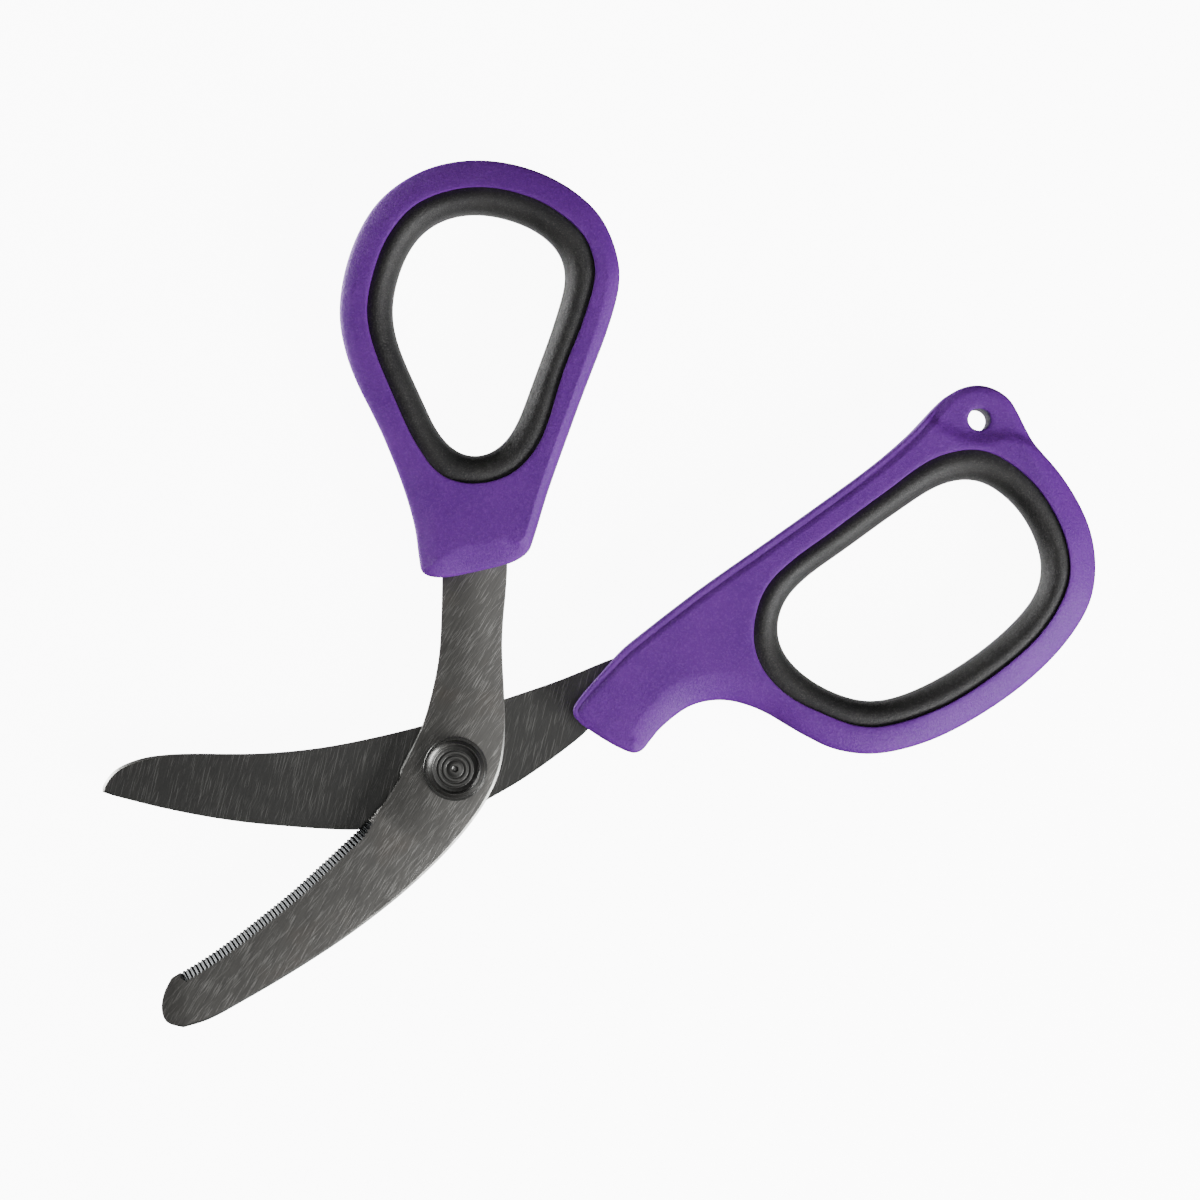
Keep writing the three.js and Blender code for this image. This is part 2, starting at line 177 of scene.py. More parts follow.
# Small profiles on the pivot's head and screw: how far out and how far up from a corner. A groove's
# is in half widths and depths.
HEAD_FOOT = [(-0.25, 0), (0, 0.12), (0, 0.35)]
RECESS_FOOT = [(0.06, 0.1), (0, 0.03), (-0.08, 0)]
CENTRE_MARK = [(0.62, 0), (0.5, -0.12), (0.3, -0.2), (0, -0.22)]
SCREW_BROW = [(-0.3, 0), (-0.09, 0.09), (0, 0.3)]
SCREW_FOOT = [(0, -0.12), (-0.12, 0)]
GROOVE = [(1, 0), (0.45, -0.85), (0, -1), (-0.45, -0.85), (-1, 0)]

# The screw's two spanner holes and its centre mark: a place along X, a radius and a depth.
SCREW_HOLES = [(-3.2, 0.75, 1.2), (3.2, 0.75, 1.2), (0, 0.6, 0.35)]

# Most of a noise's values lie between these.
MIDDLE = (0.3, 0.7)

# Stage.
FLOOR_SIZE = 3.0
FLOOR_DROP = 0.3
FLOOR_GLOW = 10.0
WORLD_LIGHT = 0.1

# Camera: straight above, as the shears are laid out.
CAMERA_AT = (26.18, 30.55)
CAMERA_HEIGHT = 610.0
LENS = 100.6

# Soft lamps: a name, a place, a power in watts, a width and a height.
LAMPS = [
    ("horizon_left", (-690, 285, -125), 22.0, 560, 420),
    ("backdrop", (26, 30, -600), 2.4, 900, 900),
    ("lower_right", (680, -450, 370), 16.6, 540, 400),
    ("overhead", (160, 20, 900), 1.2, 500, 500),
]


# ---------------------------------------------------------------------------------------------------
# Outlines: closed lists of 2-D points, taken from the frame's solids
# ---------------------------------------------------------------------------------------------------

def section(node, height):
    """The closed outlines where a level plane cuts a frame node, the longest first."""
    bm = bmesh.new()
    bm.from_mesh(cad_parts[node].data)
    bmesh.ops.scale(bm, vec=Vector((1, 1, 1)) / MM, verts=bm.verts)
    bmesh.ops.remove_doubles(bm, verts=bm.verts, dist=1e-3)
    geometry = bm.verts[:] + bm.edges[:] + bm.faces[:]
    level = Vector((0, 0, height))
    cut = bmesh.ops.bisect_plane(bm, geom=geometry, dist=1e-4, plane_co=level, plane_no=(0, 0, 1))
    edges = dict.fromkeys(item for item in cut["geom_cut"] if isinstance(item, bmesh.types.BMEdge))
    loops = []
    while edges:
        edge, _ = edges.popitem()
        start, at = edge.verts
        points = [start.co.xy]
        while at is not start:
            points.append(at.co.xy)
            edge = next(e for e in at.link_edges if e in edges)
            del edges[edge]
            at = edge.other_vert(at)
        loops.append(from_the_left(counter_clockwise(without_straight_points(np.array(points)))))
    bm.free()
    return sorted(loops, key=perimeter, reverse=True)


def perimeter(points):
    return np.linalg.norm(np.roll(points, -1, 0) - points, axis=1).sum()


def counter_clockwise(points):
    x, y = points.T
    area = (x * np.roll(y, -1) - y * np.roll(x, -1)).sum()
    return points if area > 0 else points[::-1]


def from_the_left(points):
    """A closed outline that starts at its leftmost point, wherever its list started before."""
    return np.roll(points, -points[:, 0].argmin(), 0)


def turns(points):
    """How far a closed outline turns at each point, in radians."""
    before = points - np.roll(points, 1, 0)
    after = np.roll(points, -1, 0) - points
    cross = before[:, 0] * after[:, 1] - before[:, 1] * after[:, 0]
    return np.arctan2(cross, (before * after).sum(1))


def without_straight_points(points):
    """Drops points that repeat, and points in the middle of a straight stretch."""
    apart = np.linalg.norm(points - np.roll(points, 1, 0), axis=1) > SAME_POINT
    points = points[apart]
    return points[np.abs(turns(points)) > STRAIGHT_ANGLE]


def curve_through(points, closed):
    """A fine centripetal Catmull-Rom curve through the points."""
    if closed:
        padded = np.vstack([points[-1:], points, points[:2]])
    else:
        padded = np.vstack([2 * points[0] - points[1], points, 2 * points[-1] - points[-2]])
    share = np.linspace(0, 1, CURVE_CUTS, endpoint=False)[:, None]
    fine = []
    for a, b, c, d in zip(padded, padded[1:], padded[2:], padded[3:]):
        k1, k2, k3 = np.cumsum([np.linalg.norm(q - p) ** 0.5 for p, q in ((a, b), (b, c), (c, d))])
        at = k1 + share * (k2 - k1)
        ab = a + (b - a) * at / k1
        bc = b + (c - b) * (at - k1) / (k2 - k1)
        cd = c + (d - c) * (at - k2) / (k3 - k2)
        abc = ab + (bc - ab) * at / k2
        bcd = bc + (cd - bc) * (at - k1) / (k3 - k1)
        fine.append(abc + (bcd - abc) * (at - k1) / (k2 - k1))
    fine = np.vstack(fine)
    return fine if closed else np.vstack([fine, points[-1:]])


def resampled(fine, closed, step=None, count=None):
    """Evenly spaced points along a fine curve. An open curve keeps both its ends."""
    path = np.vstack([fine, fine[:1]]) if closed else fine
    along = np.concatenate([[0], np.cumsum(np.linalg.norm(np.diff(path, axis=0), axis=1))])
    count = count or max(2, round(along[-1] / step))
    at = np.linspace(0, along[-1], count + 1)
    spaced = np.column_stack([np.interp(at, along, axis) for axis in path.T])
    return spaced[:-1] if closed else spaced


def smooth_loop(points, step=OUTLINE_STEP, count=None):
    return resampled(curve_through(points, True), True, step, count)


def eased(points, spread):
    """A closed outline with small unevenness smoothed out over a few points each way."""
    for _ in range(spread * spread):
        points = (np.roll(points, 1, 0) + 2 * points + np.roll(points, -1, 0)) / 4
    return points


def stretches_between_corners(points):
    """A closed outline as a list of open stretches, split where it turns sharply."""
    corners = np.flatnonzero(np.abs(turns(points)) > CORNER_ANGLE)
    ends = np.append(corners[1:], corners[0] + len(points))
    return [points[np.arange(a, b + 1) % len(points)] for a, b in zip(corners, ends)]


def inward_normals(points):
    """Unit normals of a closed counter-clockwise outline, pointing inwards."""
    along = np.roll(points, -1, 0) - np.roll(points, 1, 0)
    along /= np.linalg.norm(along, axis=1)[:, None]
    return np.column_stack([-along[:, 1], along[:, 0]])


def inset(points, distance):
    """An outline moved inwards by a distance, which may differ from point to point.

    Where it folds over itself in a tight corner, it is relaxed until it doesn't.
    """
    moved = points + inward_normals(points) * np.broadcast_to(distance, len(points))[:, None]
    steps = np.roll(points, -1, 0) - points
    for _ in range(UNFOLDING_PASSES):
        folded = (steps * (np.roll(moved, -1, 0) - moved)).sum(1) <= 0
        if not folded.any():
            break
        near = folded | np.roll(folded, 1)
        near |= np.roll(near, 1) | np.roll(near, -1)
        relaxed = (np.roll(moved, 1, 0) + moved + np.roll(moved, -1, 0)) / 3
        moved[near] = relaxed[near]
    return moved


def inside(points, outline):
    """Which points lie inside a closed outline."""
    x, y = points.T
    result = np.zeros(len(points), bool)
    for (ax, ay), (bx, by) in zip(outline, np.roll(outline, -1, 0)):
        if ay != by:
            crosses = ((ay > y) != (by > y)) & (x < (bx - ax) * (y - ay) / (by - ay) + ax)
            result ^= crosses
    return result


def nearest(points, outline):
    """Each point's distance to an outline's nearest point, and that point's index."""
    gaps = np.linalg.norm(points[:, None] - outline[None], axis=2)
    index = gaps.argmin(1)
    return gaps[np.arange(len(points)), index], index


def blended(x, low, high):
    """0 below low, 1 above high, and a smooth step between."""
    t = np.clip((x - low) / (high - low), 0, 1)
    return t * t * (3 - 2 * t)


# ---------------------------------------------------------------------------------------------------
# Shells: rings of vertices joined by walls and filled by caps
# ---------------------------------------------------------------------------------------------------

def ring(bm, points, height):
    heights = np.broadcast_to(height, len(points))
    return [bm.verts.new((x, y, z)) for (x, y), z in zip(points, heights)]


def wall(bm, rings, material=0):
    """Quads between rings. The material's place in the list may differ from point to point."""
    for low, high in zip(rings, rings[1:]):
        for i, place in enumerate(np.broadcast_to(material, len(low))):
            k = (i + 1) % len(low)
            bm.faces.new((low[i], low[k], high[k], high[i])).material_index = int(place)


def fill(bm, loops, loose=()):
    """Triangles between a ring and the rings of its holes, through any loose vertices."""
    verts = [v for loop in loops for v in loop] + list(loose)
    edges = []
    for loop in loops:
        first = sum(len(other) for other in loops[:loops.index(loop)])
        count = len(loop)
        edges += [(first + i, first + (i + 1) % count) for i in range(count)]
    flat = [v.co.xy for v in verts]
    found = delaunay_2d_cdt(flat, edges, [], 0, 1e-6)
    coords, triangles, sources = found[0], found[2], found[3]
    middles = np.array([sum((coords[i] for i in t), Vector((0, 0))) / 3 for t in triangles])
    keep = inside(middles, np.array([v.co.xy for v in loops[0]]))
    for hole in loops[1:]:
        keep &= ~inside(middles, np.array([v.co.xy for v in hole]))
    for triangle, wanted in zip(triangles, keep):
        if wanted:
            bm.faces.new([verts[sources[i][0]] for i in triangle])


def shell(name, bm, materials, crease=CREASE):
    """A closed mesh object in metres from a bmesh in millimetres."""
    bmesh.ops.scale(bm, vec=Vector((MM, MM, MM)), verts=bm.verts)
    bmesh.ops.recalc_face_normals(bm, faces=bm.faces)
    mesh = bpy.data.meshes.new(name)
    bm.to_mesh(mesh)
    bm.free()
    for material in materials:
        mesh.materials.append(material)
    mesh.polygons.foreach_set("use_smooth", [True] * len(mesh.polygons))
    mesh.set_sharp_from_angle(angle=crease)
    piece = bpy.data.objects.new(name, mesh)
    bpy.context.scene.collection.objects.link(piece)
    return piece


# ---------------------------------------------------------------------------------------------------
# Materials
# ---------------------------------------------------------------------------------------------------

def srgb(r, g, b):
    """A linear colour from 0-255 display values."""
    def linear(c):
        c /= 255
        return c / 12.92 if c <= 0.04045 else ((c + 0.055) / 1.055) ** 2.4
    return linear(r), linear(g), linear(b), 1.0


class Nodes:
    """A new material's node tree, with short ways to add and join nodes."""

    def __init__(self, name):
        self.material = bpy.data.materials.new(name)
        self.material.use_nodes = True
        self.tree = self.material.node_tree
        self.shader = self.tree.nodes["Principled BSDF"]
        self.place = self.add("ShaderNodeTexCoord").outputs["Object"]

    def add(self, kind, **settings):
        node = self.tree.nodes.new(kind)
        for key, value in settings.items():
            if hasattr(node, key):
                setattr(node, key, value)
            else:
                self.give(node.inputs[key.replace("_", " ")], value)
        return node

    def give(self, socket, value):
        if isinstance(value, bpy.types.NodeSocket):
            self.tree.links.new(value, socket)
        else:
            socket.default_value = value

    def set(self, **values):
        """Sets or links the shader's sockets."""
        for key, value in values.items():
            self.give(self.shader.inputs[key.replace("_", " ")], value)

    def stretched(self, scale, angle=0.0):
        """Object coordinates in millimetres, turned about Z and then stretched."""
        turned = self.add("ShaderNodeMapping", vector_type="TEXTURE", Rotation=(0, 0, angle))
        self.give(turned.inputs["Vector"], self.place)
        sized = self.add("ShaderNodeMapping", Scale=[s / MM for s in scale])
        self.give(sized.inputs["Vector"], turned.outputs["Vector"])
        return sized.outputs["Vector"]

    def noise(self, scale, detail=2.0, rough=0.5, stretch=(1, 1, 1), angle=0.0):
        """Noise whose main features are about 1/scale mm across."""
        place = self.stretched([scale * s for s in stretch], angle)
        node = self.add("ShaderNodeTexNoise", Scale=1.0, Detail=detail, Roughness=rough)
        self.give(node.inputs["Vector"], place)
        return node.outputs["Fac"]

    def range(self, value, low, high, to_low=0.0, to_high=1.0):
        node = self.add("ShaderNodeMapRange", From_Min=low, From_Max=high, To_Min=to_low, To_Max=to_high)
        self.give(node.inputs["Value"], value)
        return node.outputs["Result"]

    def math(self, operation, a, b):
        node = self.add("ShaderNodeMath", operation=operation)
        self.give(node.inputs[0], a)
        self.give(node.inputs[1], b)
        return node.outputs[0]

    def mix(self, share, a, b):
        """A colour between a and b. The node's colour sockets come after those of its other types."""
        node = self.add("ShaderNodeMix", data_type="RGBA")
        self.give(node.inputs[0], share)
        self.give(node.inputs[6], a)
        self.give(node.inputs[7], b)
        return node.outputs[2]

    def bump(self, height, depth, below=None):
        """A bump whose height runs from 0 to 1 over a depth in millimetres."""
        node = self.add("ShaderNodeBump", Strength=1.0, Distance=depth * MM)
        self.give(node.inputs["Height"], height)
        if below is not None:
            self.give(node.inputs["Normal"], below)
        return node.outputs["Normal"]


def moulded_plastic():
    """Satin purple nylon with the fine even texture of a spark-eroded mould."""
    n = Nodes("purple_nylon")
    texture = n.noise(2.6, detail=4.0, rough=0.75)
    grain = n.noise(14.0, detail=2.0)
    cloud = n.noise(0.11, detail=3.0)
    base = n.mix(n.range(cloud, 0.35, 0.65), srgb(93, 25, 138), srgb(102, 33, 146))
    base = n.mix(n.range(texture, 0.48, 0.72, 0, 0.6), base, srgb(126, 62, 169))
    rough = n.math("ADD", n.range(texture, *MIDDLE, 0.4, 0.52), n.range(cloud, *MIDDLE, -0.03, 0.03))
    normal = n.bump(texture, 0.14)
    normal = n.bump(grain, 0.01, normal)
    n.set(Base_Color=base, Roughness=rough, Normal=normal, Specular_IOR_Level=0.33)
    return n.material


def soft_rubber():
    """Black soft-touch rubber with a fine pebble, with pale speckles painted on as the pebble's glints.
    """
    n = Nodes("black_soft_rubber")
    pebble = n.noise(3.4, detail=3.0, rough=0.75)
    cloud = n.noise(0.16, detail=4.0)
    painted_glints = n.noise(4.2, detail=2.0)
    base = n.mix(n.range(cloud, 0.35, 0.7), srgb(36, 36, 37), srgb(46, 46, 45))
    # Painted glints: pale speckles stand in for the light that the pebble catches.
    base = n.mix(n.range(painted_glints, 0.55, 0.72, 0, 0.34), base, srgb(104, 103, 100))
    rough = n.math("ADD", n.range(pebble, *MIDDLE, 0.38, 0.52), n.range(cloud, *MIDDLE, -0.04, 0.04))
    n.set(Base_Color=base, Roughness=rough, Normal=n.bump(pebble, 0.14), Specular_IOR_Level=0.42)
    return n.material


def scratches(n, angle, length, width, amount):
    """Fine straight scratches, 0 to 1, that run along an angle and lie thicker in some places."""
    fine = n.noise(1 / width, detail=0.0, stretch=(width / length, 1, 1), angle=angle)
    patches = n.noise(0.25, detail=2.0)
    needed = n.range(patches, 0.35, 0.65, 0.74 - amount, 0.66 - amount)
    return n.range(n.math("SUBTRACT", fine, needed), 0.0, 0.04)


def coated_steel(name, dark, light, angle, axis, brown=0.0, worn=0.5):
    """Blade steel, ground along an angle in degrees, coated dark, with painted shade far out along an
    axis.
    """
    n = Nodes(name)
    turn = math.radians(angle)
    ground = n.noise(7.0, detail=2.0, rough=0.6, stretch=(0.035, 1, 1), angle=turn)
    marks = scratches(n, turn, 4.5, 0.15, 0.04)
    cross = scratches(n, turn - math.radians(14), 3.5, 0.13, 0.01)
    cloud = n.noise(0.12, detail=4.0)
    split = n.add("ShaderNodeSeparateXYZ")
    n.give(split.inputs[0], n.place)
    # Painted shade: the coating is darkened far out along the axis, towards the tip.
    near, far = -8 * MM, -50 * MM
    far_shade = n.range(split.outputs[axis], near, far)
    base = n.mix(n.range(ground, *MIDDLE), dark, light)
    base = n.mix(n.range(cloud, 0.55, 0.75, 0, brown), base, srgb(92, 78, 66))
    base = n.mix(n.math("MULTIPLY", far_shade, 0.24), base, srgb(44, 43, 42))
    bare = srgb(158, 157, 154)
    base = n.mix(n.math("MULTIPLY", marks, worn), base, bare)
    base = n.mix(n.math("MULTIPLY", cross, worn * 0.7), base, bare)
    rough = n.math("ADD", n.range(ground, *MIDDLE, 0.38, 0.48), n.range(cloud, *MIDDLE, -0.04, 0.05))
    rough = n.math("SUBTRACT", rough, n.math("MULTIPLY", marks, 0.1))
    normal = n.bump(ground, 0.005)
    normal = n.bump(marks, -0.006, normal)
    n.set(Base_Color=base, Metallic=0.55, Roughness=rough, Normal=normal)
    return n.material


def ground_steel(name, dark, light, angle, worn):
    """A ground facet, where the coating is thin and the steel shows."""
    n = Nodes(name)
    lines = n.noise(11.0, detail=3.0, rough=0.7, stretch=(0.05, 1, 1), angle=math.radians(angle))
    wear = n.noise(0.5, detail=4.0)
    base = n.mix(n.range(lines, *MIDDLE), dark, light)
    base = n.mix(n.range(wear, 0.5, 0.75, 0, worn), base, srgb(172, 172, 170))
    rough = n.range(lines, *MIDDLE, 0.26, 0.42)
    n.set(Base_Color=base, Metallic=0.95, Roughness=rough, Normal=n.bump(lines, 0.004))
    return n.material


def turned_metal(name, dark, light, gloss=0.22):
    """Metal turned on a lathe, with fine rings round the pivot's axis, blacked or bare."""
    n = Nodes(name)
    split = n.add("ShaderNodeSeparateXYZ")
    n.give(split.inputs[0], n.place)
    x, y, z = split.outputs
    square = n.math("ADD", n.math("POWER", x, 2.0), n.math("POWER", y, 2.0))
    joined = n.add("ShaderNodeCombineXYZ")
    n.give(joined.inputs[0], n.math("DIVIDE", n.math("SQRT", square, 0.0), MM))
    n.give(joined.inputs[1], n.math("DIVIDE", z, MM))
    rings = n.add("ShaderNodeTexNoise", Scale=14.0, Detail=3.0, Roughness=0.7)
    n.give(rings.inputs["Vector"], joined.outputs[0])
    rings = rings.outputs["Fac"]
    wear = n.noise(0.8, detail=4.0)
    base = n.mix(n.range(rings, *MIDDLE), dark, light)
    base = n.mix(n.range(wear, 0.56, 0.76, 0, 0.35), base, srgb(128, 127, 124))
    rough = n.math("ADD", n.range(rings, *MIDDLE, gloss, gloss + 0.1), n.range(wear, 0.4, 0.7, 0, 0.06))
    n.set(Base_Color=base, Metallic=0.9, Roughness=rough, Normal=n.bump(rings, 0.01))
    return n.material


# ---------------------------------------------------------------------------------------------------
# Handles
# ---------------------------------------------------------------------------------------------------

def round_outline(outline, anchors):
    """Values held at places near an outline, carried smoothly to every one of its points."""
    places = np.array([place for place, *_ in anchors], float)
    values = np.array([rest for _, *rest in anchors], float)
    _, index = nearest(places, outline)
    order = index.argsort()
    index, values = index[order], values[order]
    count = len(outline)
    at = np.concatenate([[index[-1] - count], index, [index[0] + count]])
    held = np.vstack([values[-1:], values, values[:1]])
    columns = []
    for column in held.T:
        which = np.searchsorted(at, np.arange(count), side="right") - 1
        share = blended(np.arange(count), at[which], at[which + 1])
        columns.append(column[which] + (column[which + 1] - column[which]) * share)
    return np.column_stack(columns)


def rim_profile(share, roundness, run=1.0):
    """How far a rim stands below the face, 1 to 0, as it runs from the side wall (0) inwards (1).

    The slope takes up the run's share of the width, and a ledge that rises outwards the rest.
    """
    across = np.clip((1 - share) / run, 0, 1)
    ledge = np.clip(1 - share - run, 0, 1)
    return 1 - (1 - across ** roundness) ** (1 / roundness) - LEDGE_RISE * ledge


def tab_drop(points, tab_line):
    """How far the faces sink towards the lanyard tab, past the step across it."""
    if tab_line is None:
        return np.zeros(len(points))
    fine = resampled(curve_through(np.array(tab_line, float), False), False, TAB_LINE_STEP)
    gap, index = nearest(points, fine)
    along = np.gradient(fine, axis=0)[index]
    across = points - fine[index]
    side = np.sign(along[:, 0] * across[:, 1] - along[:, 1] * across[:, 0])
    depth = HANDLE_TOP / 2 - TAB_HALF_THICKNESS
    return depth * blended(side * gap, -TAB_STEP_LENGTH / 2, TAB_STEP_LENGTH / 2)


def rim_points(outline, width):
    """Points of rings that follow a rim inwards: over the lip, down the facet and past its crease."""
    depths = [np.full(len(outline), LIP * (1 - math.cos(math.pi / 2 * k / LIP_RINGS)))
              for k in range(1, LIP_RINGS + 1)]
    depths += [LIP + (width - LIP) * k / FACET_RINGS for k in range(1, FACET_RINGS + 1)]
    depths.append(width + PAST_CREASE)
    points = np.vstack([inset(outline, depth) for depth in depths])
    gap, _ = nearest(points, outline)
    return points[gap > UNFOLDED_SHARE * np.concatenate(depths)]


def grid_points(outline, drawn):
    """A loose grid for the flat between the rims, clear of the points that are drawn already."""
    (left, low), (right, high) = outline.min(0), outline.max(0)
    grid = np.meshgrid(np.arange(left, right, GRID_STEP), np.arange(low, high, GRID_STEP))
    grid = np.stack(grid, -1).reshape(-1, 2)
    gap, _ = nearest(grid, np.vstack([drawn, outline]))
    return grid[gap > GRID_CLEARANCE]


def face_points(outline, width, seat_edge, holes):
    """All the points that a handle's face is drawn through, clear of its seat and its holes."""
    rim = rim_points(outline, width)
    points = np.vstack([rim, grid_points(outline, rim)])
    gap, _ = nearest(points, seat_edge)
    keep = inside(points, outline) & ~inside(points, seat_edge) & (gap > SEAT_CLEARANCE)
    for hole in holes:
        gap, _ = nearest(points, hole)
        keep &= ~inside(points, hole) & (gap > LANYARD_EDGE + HOLE_CLEARANCE)
    return points[keep]


def handle(name, level, anchors, material, tab_line=None):
    """A moulded handle. Each anchor is a place on its rim and the rim's shape there."""
    loops = section(name, level)
    outline = smooth_loop(loops[0])
    seat = smooth_loop(loops[1])
    holes = [smooth_loop(loop, HOLE_STEP) for loop in loops[2:] if perimeter(loop) > SHORTEST_HOLE]
    width, drop, roundness, run = round_outline(outline, anchors).T
    seat_lips = [inset(seat, -lip) for lip in (SEAT_LIP, SEAT_LIP / 3)]
    inner = face_points(outline, width, seat_lips[0], holes)

    def height(points):
        """The top face's height over the mid-plane."""
        gap, index = nearest(points, outline)
        facet = drop[index] * rim_profile(gap / width[index], roundness[index], run[index])
        lip = LIP * rim_profile(gap / LIP, 2.0)
        return HANDLE_TOP / 2 - tab_drop(points, tab_line) - facet - lip

    bm = bmesh.new()
    sheets = []
    for side in (1, -1):
        def level_ring(points, below=0.0):
            return ring(bm, points, MID_PLANE + side * (height(points) - below))

        edge = level_ring(outline)
        seat_rings = [level_ring(seat_lips[0]), level_ring(seat_lips[1], SEAT_LIP / 4),
                      level_ring(seat, SEAT_LIP)]
        wall(bm, seat_rings)
        mouths = []
        for hole in holes:
            halfway = LANYARD_EDGE * LANYARD_HALFWAY
            mouths.append([level_ring(inset(hole, -LANYARD_EDGE)),
                           level_ring(inset(hole, -halfway), halfway),
                           level_ring(hole, LANYARD_EDGE)])
            wall(bm, mouths[-1])
        loose = level_ring(inner)
        fill(bm, [edge, seat_rings[0]] + [rings[0] for rings in mouths], loose)
        sheets.append((edge, seat_rings[-1], [rings[-1] for rings in mouths]))

    (top, seat_top, holes_top), (bottom, seat_bottom, holes_bottom) = sheets
    parting = [ring(bm, inset(outline, depth), MID_PLANE + rise)
               for rise, depth in ((PARTING_REACH, 0), (0, PARTING_GROOVE), (-PARTING_REACH, 0))]
    wall(bm, [top, *parting, bottom])
    groove = inset(seat, -GROOVE_DEPTH)
    grooves = [ring(bm, points, MID_PLANE + reach)
               for points, reach in ((seat, GROOVE_REACH), (groove, GROOVE_REACH),
                                     (groove, -GROOVE_REACH), (seat, -GROOVE_REACH))]
    wall(bm, [seat_top, *grooves, seat_bottom])
    for pair in zip(holes_top, holes_bottom):
        wall(bm, pair)
    return shell(name + "_shell", bm, [material])


# ---------------------------------------------------------------------------------------------------
# Soft liners
# ---------------------------------------------------------------------------------------------------

def liner_half_section(half_height):
    """Points from the seat's lip over the crest and down to the opening, short of the mid-plane.

    Each is a share of the way from the seat to the opening, and a height over the mid-plane.
    """
    points = []
    for k in range(LINER_EDGE_CUTS):
        t = k / LINER_EDGE_CUTS
        sink = LINER_EDGE_SINK * (1 - math.sin(math.pi / 2 * t))
        points.append((LINER_CREST * t, half_height - sink))
    for k in range(LINER_CUTS):
        t = math.pi / 2 * k / LINER_CUTS
        across = LINER_CREST + (1 - LINER_CREST) * math.sin(t) ** LINER_ACROSS_POWER
        points.append((across, half_height * math.cos(t) ** LINER_HEIGHT_POWER))
    return points


def facing_points(opening, seat):
    """The point of the seat that faces each point of the opening, spread evenly round it."""
    _, index = nearest(opening[:1], seat)
    seat = np.roll(seat, -index[0], 0)
    _, match = nearest(opening, seat)
    match = np.unwrap(match, period=len(seat))
    half = MATCH_WINDOW // 2
    padded = np.concatenate([match[-half:] - len(seat), match, match[:half] + len(seat)])
    match = np.convolve(padded, np.ones(MATCH_WINDOW) / MATCH_WINDOW, "valid")
    looped = np.vstack([seat, seat, seat])
    at = np.arange(len(looped)) - len(seat)
    return np.column_stack([np.interp(match, at, axis) for axis in looped.T])


def liner(node, handle_node, level, material):
    """A soft band in a loop, on its handle's seat, with a rib that sits in the seat's groove."""
    seat = smooth_loop(section(handle_node, level)[1], count=LINER_POINTS)
    opening = smooth_loop(section(node, MID_PLANE + OFF_MID_PLANE)[-1], count=LINER_POINTS)
    opening = eased(opening, LINER_EASING)
    base = facing_points(opening, seat)
    outer = inset(base, LINER_GAP)
    across = opening - outer
    low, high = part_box(node)
    upper = liner_half_section((high.z - low.z) / 2 / MM)
    full = upper + [(1.0, 0.0)] + [(share, -height) for share, height in reversed(upper)]
    bm = bmesh.new()
    rings = [ring(bm, outer + across * share, MID_PLANE + height) for share, height in full]
    rib = inset(base, -GROOVE_DEPTH + 2 * LINER_GAP)
    reach = GROOVE_REACH - LINER_GAP
    back = [ring(bm, points, MID_PLANE + height)
            for points, height in ((outer, -reach), (rib, -reach), (rib, reach), (outer, reach))]
    wall(bm, [*rings, *back, rings[0]])
    return shell(node + "_moulding", bm, [material], LINER_CREASE)


# ---------------------------------------------------------------------------------------------------
# Blades
# ---------------------------------------------------------------------------------------------------

def blade_outline(node, edge_level, face_level, step):
    """A blade's outline without its teeth, and each point's way from its edge's two ends.

    It starts where the ground edge starts. Along the edge its points are a step apart.
    """
    rough = section(node, edge_level)[0]
    rough = rough[turns(rough) > TOOTH_CORNER]
    face = resampled(section(node, face_level)[0], True, BLADE_STEP)
    parts = []
    for stretch in stretches_between_corners(rough):
        gap, _ = nearest(stretch, face)
        fine = curve_through(stretch, False) if len(stretch) > 2 else stretch
        parts.append(resampled(fine, False, step if gap.max() > GROUND_GAP else SHANK_STEP)[:-1])
    outline = np.vstack(parts)
    gap, _ = nearest(outline, face)
    ground = np.flatnonzero(gap > GROUND_GAP)
    apart = np.diff(np.append(ground, ground[0] + len(outline)))
    first = ground[(apart.argmax() + 1) % len(ground)]
    outline = np.roll(outline, -first, 0)
    along = np.concatenate([[0], np.cumsum(np.linalg.norm(np.diff(outline, axis=0), axis=1))])
    length = along[len(ground) - 1]
    return outline, along, length - along


def spine_share(outline, left):
    """1 along the blade's curved back, from past the tip to the pivot, and 0 elsewhere."""
    return blended(-left, *SPINE_START) * (1 - blended(outline[:, 1], *SPINE_END))


def flute(along, up):
    """How deep the edge's flutes cut, 0 to 1; they slant as they climb the bevel."""
    return 0.5 + 0.5 * np.cos(2 * math.pi * (along / TOOTH_PITCH + FLUTE_SLANT * up))


